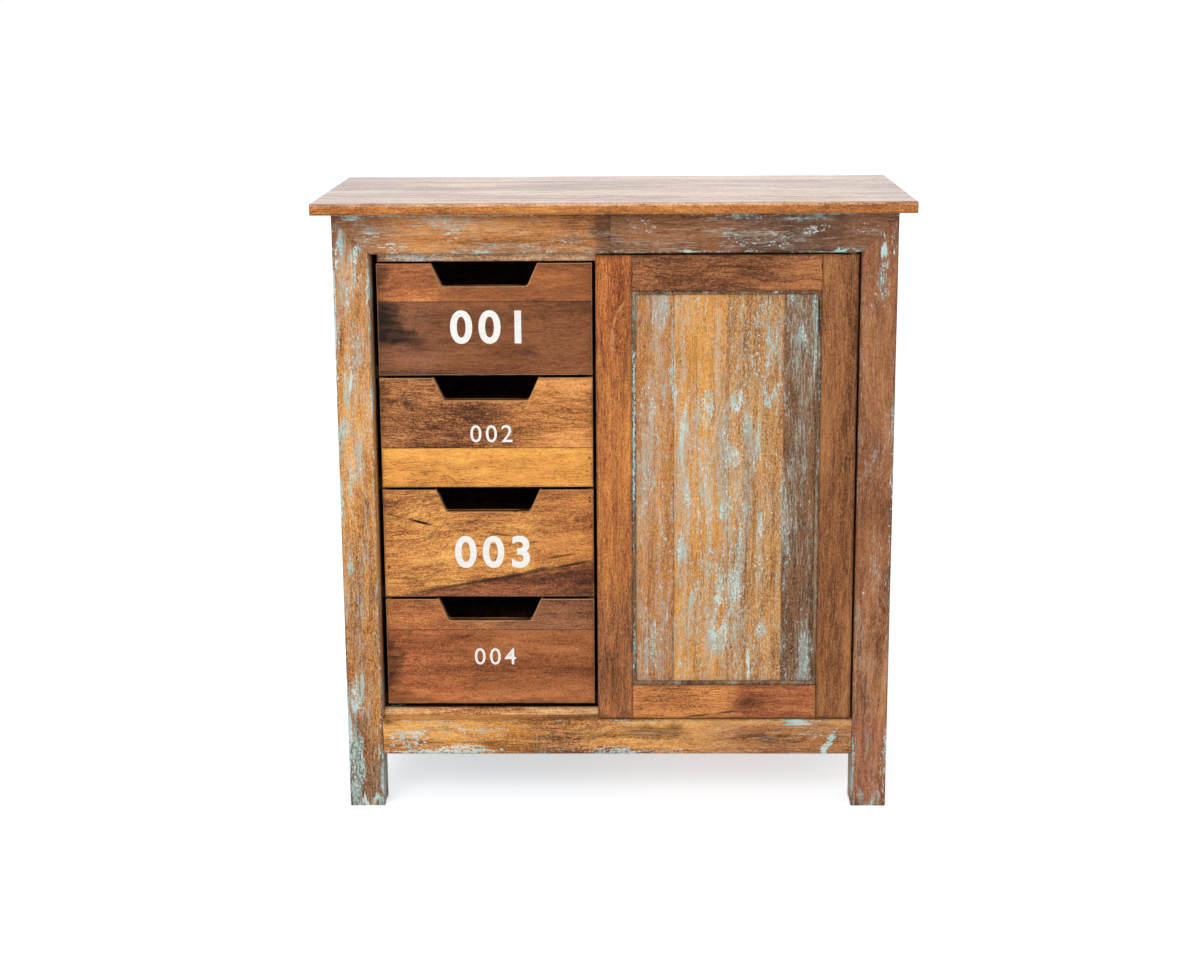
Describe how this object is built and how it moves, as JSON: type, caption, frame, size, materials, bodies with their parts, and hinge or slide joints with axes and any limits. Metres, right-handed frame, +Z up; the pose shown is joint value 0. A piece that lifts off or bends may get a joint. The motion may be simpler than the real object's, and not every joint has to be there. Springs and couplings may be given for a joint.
{
  "type": "wooden cabinet with drawers and a door",
  "caption": "Low free-standing cabinet of reclaimed wood on square legs, with a column of sliding crate drawers beside a hinged panelled door.",
  "frame": {"origin": "on the floor, under the middle of the top board", "axes": "+X to the right seen from the front, +Y to the back, +Z up"},
  "size_m": [0.8, 0.4, 0.85],
  "materials": {
    "top_wood": "oiled planks with a pale sheen",
    "worn_painted_wood": "bare reclaimed wood with remnants of blue-green paint",
    "varnished_wood": "satin varnish",
    "whitewashed_wood": "worn whitewash",
    "inside_wood": "unfinished",
    "brass": "turned",
    "steel": "plain",
    "black_plastic": "moulded"
  },
  "bodies": {
    "carcass": {"top_board": "top_wood", "front_left_leg": "worn_painted_wood", "front_right_leg": "worn_painted_wood", "rear_left_leg": "worn_painted_wood", "rear_right_leg": "worn_painted_wood", "front_top_rail": "worn_painted_wood", "front_bottom_rail": "worn_painted_wood", "rear_top_rail": "inside_wood", "rear_bottom_rail": "inside_wood", "left_top_rail": "worn_painted_wood", "left_bottom_rail": "worn_painted_wood", "right_top_rail": "worn_painted_wood", "right_bottom_rail": "worn_painted_wood", "left_side_panel": "worn_painted_wood", "right_side_panel": "worn_painted_wood", "back_panel": "inside_wood", "floor_board": "varnished_wood", "floor_cleat": "inside_wood", "stop_strip": "varnished_wood", "partition": "inside_wood", "shelf": "inside_wood", "shelf_cleat_left": "inside_wood", "shelf_cleat_right": "inside_wood", "drawer_runners_left": "inside_wood", "drawer_runners_right": "inside_wood", "pivot_bush_top": "brass", "pivot_bush_bottom": "brass", "catch_magnet": "black_plastic"},
    "drawer_1": {"drawer_1_front": "varnished_wood", "drawer_1_left_side": "inside_wood", "drawer_1_right_side": "inside_wood", "drawer_1_back": "inside_wood", "drawer_1_bottom": "inside_wood"},
    "drawer_2": {"drawer_2_front": "varnished_wood", "drawer_2_left_side": "inside_wood", "drawer_2_right_side": "inside_wood", "drawer_2_back": "inside_wood", "drawer_2_bottom": "inside_wood"},
    "drawer_3": {"drawer_3_front": "varnished_wood", "drawer_3_left_side": "inside_wood", "drawer_3_right_side": "inside_wood", "drawer_3_back": "inside_wood", "drawer_3_bottom": "inside_wood"},
    "drawer_4": {"drawer_4_front": "varnished_wood", "drawer_4_left_side": "inside_wood", "drawer_4_right_side": "inside_wood", "drawer_4_back": "inside_wood", "drawer_4_bottom": "inside_wood"},
    "door": {"door_left_stile": "varnished_wood", "door_right_stile": "varnished_wood", "door_top_rail": "varnished_wood", "door_bottom_rail": "varnished_wood", "door_panel": "whitewashed_wood", "door_panel_beads": "whitewashed_wood", "door_pivot_pins": "steel", "door_catch_plate": "steel"}
  },
  "joints": [
    {"name": "drawer_1_slide", "type": "slide", "parent": "carcass", "child": "drawer_1", "axis": [0, -1, 0], "range_m": [0, 0.25]},
    {"name": "drawer_2_slide", "type": "slide", "parent": "carcass", "child": "drawer_2", "axis": [0, -1, 0], "range_m": [0, 0.25]},
    {"name": "drawer_3_slide", "type": "slide", "parent": "carcass", "child": "drawer_3", "axis": [0, -1, 0], "range_m": [0, 0.25]},
    {"name": "drawer_4_slide", "type": "slide", "parent": "carcass", "child": "drawer_4", "axis": [0, -1, 0], "range_m": [0, 0.25]},
    {"name": "door_hinge", "type": "hinge", "parent": "carcass", "child": "door", "pos_m": [0.319, -0.1685, 0.45375], "axis": [0, 0, 1], "range_deg": [0, 110]}
  ]
}
